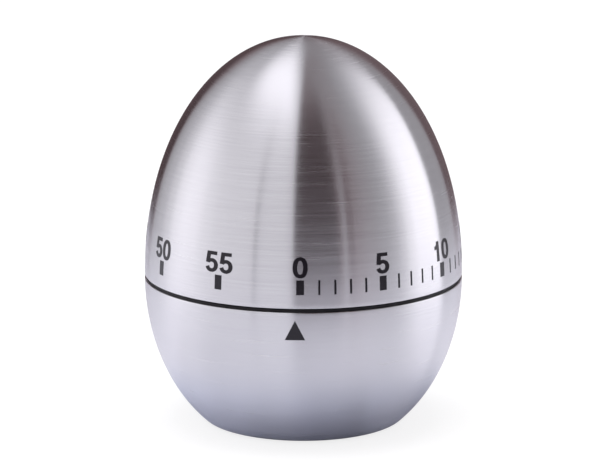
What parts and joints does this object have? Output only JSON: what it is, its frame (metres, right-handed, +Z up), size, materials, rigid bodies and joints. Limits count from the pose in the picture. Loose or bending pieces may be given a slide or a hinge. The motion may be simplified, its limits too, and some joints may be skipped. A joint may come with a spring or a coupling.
{
  "type": "kitchen timer",
  "caption": "Egg-shaped brushed steel mechanical timer: the dome is the dial and turns on the bowl to wind a spring movement with a bell.",
  "frame": {"origin": "centre of the base ring, on the worktop", "axes": "+Z up along the dial's axis, -Y towards the pointer on the bowl"},
  "size_m": [0.061, 0.061, 0.0745],
  "materials": {
    "brushed_stainless": "brushed around the axis, satin",
    "black_plastic": "fine matte",
    "movement_steel": "stamped, lightly brushed",
    "plated_steel": "plated, bright",
    "spring_steel": "blued",
    "bell_steel": "polished",
    "brass": "stamped, satin"
  },
  "bodies": {
    "base": {"base_cover": "black_plastic", "base_screw_1": "plated_steel", "base_screw_2": "plated_steel", "base_screw_3": "plated_steel", "bell": "bell_steel", "bell_post": "plated_steel", "bell_screw": "plated_steel", "bowl_liner": "black_plastic", "bowl_shell": "brushed_stainless", "lever_stud": "plated_steel", "lower_plate": "movement_steel", "mainspring": "spring_steel", "mount_screw_1": "plated_steel", "mount_screw_2": "plated_steel", "mount_screw_3": "plated_steel", "pillar_1": "plated_steel", "pillar_2": "plated_steel", "pillar_3": "plated_steel", "plate_screw_1": "plated_steel", "plate_screw_2": "plated_steel", "plate_screw_3": "plated_steel", "spring_post": "plated_steel", "upper_plate": "movement_steel"},
    "dial": {"dome_shell": "brushed_stainless", "dome_liner": "black_plastic", "winding_shaft": "movement_steel", "ratchet_wheel": "movement_steel", "strike_gear": "brass", "stop_cam": "movement_steel"},
    "great_wheel_set": {"great_wheel": "brass", "click_stud": "plated_steel", "click_spring": "spring_steel"},
    "click": {"click": "movement_steel"},
    "second_arbor": {"second_pinion": "movement_steel", "second_wheel": "brass"},
    "third_arbor": {"third_pinion": "movement_steel", "third_wheel": "brass"},
    "fourth_arbor": {"fourth_pinion": "movement_steel", "fourth_wheel": "brass"},
    "escape_arbor": {"escape_pinion": "movement_steel", "escape_wheel": "brass"},
    "balance": {"pallet_arbor": "movement_steel", "pallet_lever": "movement_steel", "entry_pallet_pin": "movement_steel", "exit_pallet_pin": "movement_steel", "balance_wheel": "brass"},
    "strike_arbor": {"strike_pinion": "movement_steel", "star_wheel": "movement_steel"},
    "hammer": {"hammer_arbor": "movement_steel", "hammer_arm": "movement_steel", "hammer_head": "brass"},
    "release_lever": {"release_lever": "movement_steel"}
  },
  "joints": [
    {"name": "dial_turn", "type": "hinge", "parent": "base", "child": "dial", "pos_m": [0, 0, 0], "axis": [0, 0, -1], "range_deg": [0, 360], "deforming": ["mainspring"]},
    {"name": "great_wheel_turn", "type": "hinge", "parent": "base", "child": "great_wheel_set", "pos_m": [0, 0, 0], "axis": [0, 0, -1], "range_deg": [0, 360]},
    {"name": "second_turn", "type": "hinge", "parent": "base", "child": "second_arbor", "pos_m": [0, 0.0126, 0], "axis": [0, 0, -1], "range_deg": [-2160, 0]},
    {"name": "third_turn", "type": "hinge", "parent": "base", "child": "third_arbor", "pos_m": [0.00871, 0.01032, 0], "axis": [0, 0, -1], "range_deg": [0, 10800]},
    {"name": "fourth_turn", "type": "hinge", "parent": "base", "child": "fourth_arbor", "pos_m": [0.0147, 0.0058, 0], "axis": [0, 0, -1], "range_deg": [-54000, 0]},
    {"name": "escape_turn", "type": "hinge", "parent": "base", "child": "escape_arbor", "pos_m": [0.016, -0.00031, 0], "axis": [0, 0, -1], "range_deg": [0, 216000]},
    {"name": "strike_turn", "type": "hinge", "parent": "base", "child": "strike_arbor", "pos_m": [-0.00829, -0.00988, 0], "axis": [0, 0, -1], "range_deg": [-1440, 0]},
    {"name": "balance_swing", "type": "hinge", "parent": "base", "child": "balance", "pos_m": [0.01465, -0.00643, 0], "axis": [0, 0, 1], "range_deg": [-6, 6]},
    {"name": "hammer_swing", "type": "hinge", "parent": "base", "child": "hammer", "pos_m": [-0.0023, -0.01634, 0], "axis": [0, 0, 1], "range_deg": [-2.3, 6], "stiffness_Nm_per_rad": 0.0001},
    {"name": "lever_swing", "type": "hinge", "parent": "base", "child": "release_lever", "pos_m": [-0.0145, 0, 0], "axis": [0, 0, 1], "range_deg": [-8, 4], "stiffness_Nm_per_rad": 0.00005},
    {"name": "click_swing", "type": "hinge", "parent": "great_wheel_set", "child": "click", "pos_m": [0.0084, 0, 0], "axis": [0, 0, 1], "range_deg": [-10, 0], "stiffness_Nm_per_rad": 0.000002}
  ],
  "couplings": [
    {"joint": "great_wheel_turn", "follows": "dial_turn", "ratio": 1},
    {"joint": "second_turn", "follows": "dial_turn", "ratio": -6},
    {"joint": "third_turn", "follows": "dial_turn", "ratio": 30},
    {"joint": "fourth_turn", "follows": "dial_turn", "ratio": -150},
    {"joint": "escape_turn", "follows": "dial_turn", "ratio": 600},
    {"joint": "strike_turn", "follows": "dial_turn", "ratio": -4}
  ]
}
